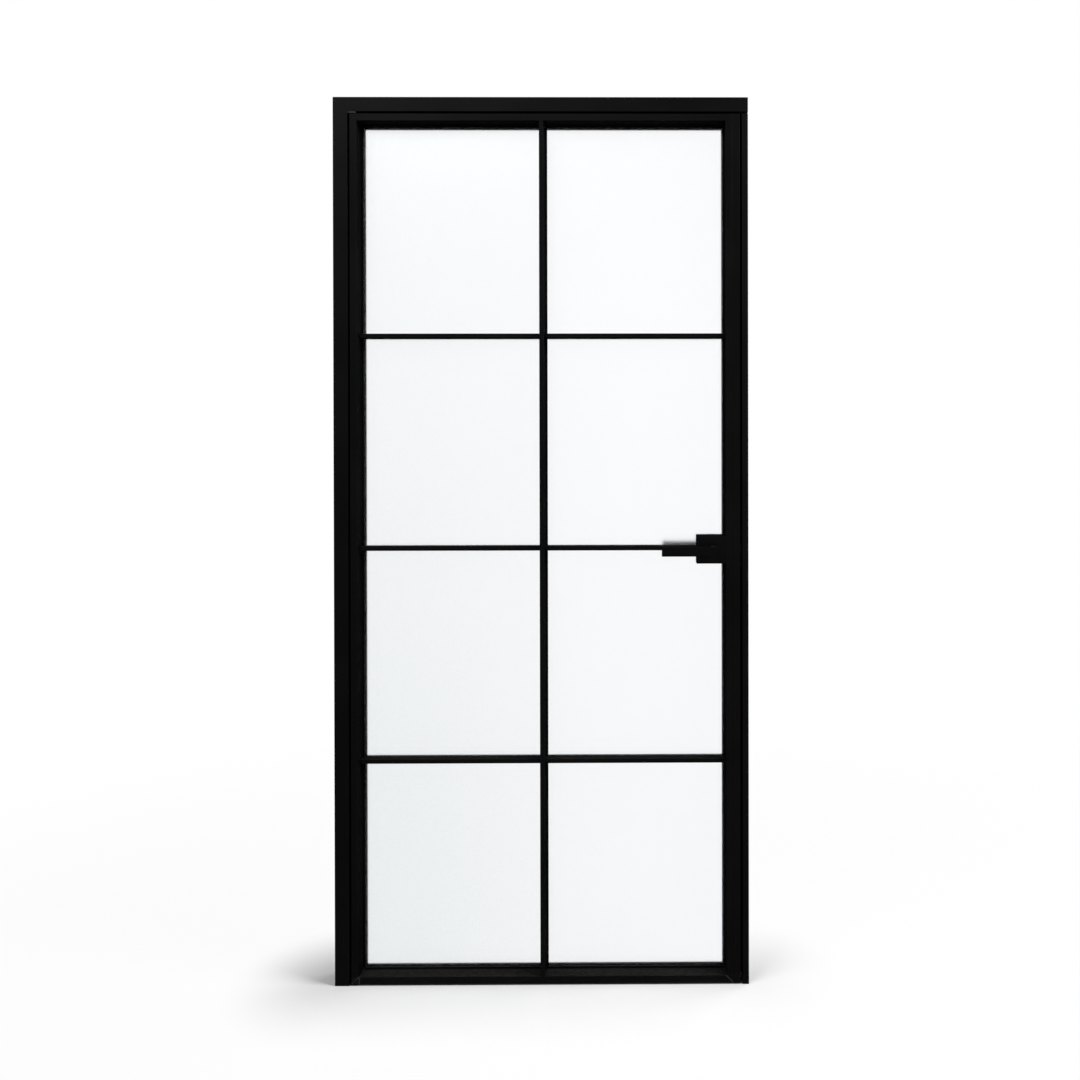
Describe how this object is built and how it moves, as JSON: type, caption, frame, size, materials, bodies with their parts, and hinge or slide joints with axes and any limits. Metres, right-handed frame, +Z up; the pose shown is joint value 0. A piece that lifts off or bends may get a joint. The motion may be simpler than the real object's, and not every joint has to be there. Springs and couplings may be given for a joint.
{
  "type": "glazed steel-look door with frame",
  "caption": "Slim black metal door leaf with a grid of satin glass panes, pivot-hung in its own frame, with a lever latch in a square lock box.",
  "frame": {"origin": "on the floor, in the middle of the frame's width, on the leaf's middle plane", "axes": "+X to the right seen from the front, +Z up, the front faces -Y; the leaf is closed at rest"},
  "size_m": [1.003, 0.1406, 2.15],
  "materials": {
    "black_powder_coat": "satin",
    "cast_aluminium": "matte",
    "zinc_steel": "satin",
    "black_steel": "satin",
    "black_rubber": "matte",
    "black_nylon": "matte",
    "brush_pile": "matte",
    "satin_glass": "satin"
  },
  "bodies": {
    "frame": {"hinge_jamb": "black_powder_coat", "head": "black_powder_coat", "head_end_plate": "black_powder_coat", "strike_jamb": "black_powder_coat", "strike_jamb_connector": "cast_aluminium", "connector_screws": "zinc_steel", "frame_corner_cleat": "cast_aluminium", "hinge_stop": "black_powder_coat", "head_stop": "black_powder_coat", "strike_stop": "black_powder_coat", "side_seals": "black_rubber", "head_seal": "black_rubber", "top_pivot_plate": "black_steel", "floor_bracket": "black_steel", "pivot_pins": "zinc_steel", "strike_plate": "black_powder_coat", "frame_screws": "black_steel"},
    "leaf": {"bar_caps": "black_powder_coat", "bottom_brush": "brush_pile", "bottom_rail": "black_powder_coat", "edge_strip": "black_powder_coat", "edge_strip_caps": "black_powder_coat", "forend": "black_powder_coat", "front_cover": "black_powder_coat", "glazing_tape": "black_rubber", "hinge_stile": "black_powder_coat", "latch_sleeve": "black_steel", "latch_spring": "zinc_steel", "leaf_corner_cleats": "cast_aluminium", "left_transoms": "black_powder_coat", "lever_bushes": "black_nylon", "lock_box": "black_powder_coat", "lock_screws": "black_steel", "lock_stile": "black_powder_coat", "lock_transom": "black_powder_coat", "mullion": "black_powder_coat", "pane_left_1": "satin_glass", "pane_left_2": "satin_glass", "pane_left_3": "satin_glass", "pane_left_4": "satin_glass", "pane_right_1": "satin_glass", "pane_right_2": "satin_glass", "pane_right_3": "satin_glass", "pane_right_4": "satin_glass", "pivot_blocks": "cast_aluminium", "pivot_bushes": "black_nylon", "rail_beads": "black_powder_coat", "rear_cover": "black_powder_coat", "right_transoms": "black_powder_coat", "side_beads": "black_powder_coat", "top_rail": "black_powder_coat"},
    "lever": {"follower": "zinc_steel", "spindle": "zinc_steel", "front_neck": "black_powder_coat", "rear_neck": "black_powder_coat", "front_grip": "black_powder_coat", "rear_grip": "black_powder_coat", "grub_screws": "black_steel"},
    "latch": {"latch_bolt": "black_steel"}
  },
  "joints": [
    {"name": "leaf_swing", "type": "hinge", "parent": "frame", "child": "leaf", "pos_m": [-0.453, -0.0175, 0], "axis": [0, 0, -1], "range_deg": [0, 105]},
    {"name": "lever_turn", "type": "hinge", "parent": "leaf", "child": "lever", "pos_m": [0.4155, 0, 1.0545], "axis": [0, -1, 0], "range_deg": [0, 45], "stiffness_Nm_per_rad": 1.5, "springref_deg": -28.65},
    {"name": "latch_slide", "type": "slide", "parent": "leaf", "child": "latch", "axis": [-1, 0, 0], "range_m": [0, 0.0111], "deforming": ["latch_spring"]}
  ],
  "couplings": [
    {"joint": "latch_slide", "follows": "lever_turn", "m_per_rad": 0.014}
  ]
}
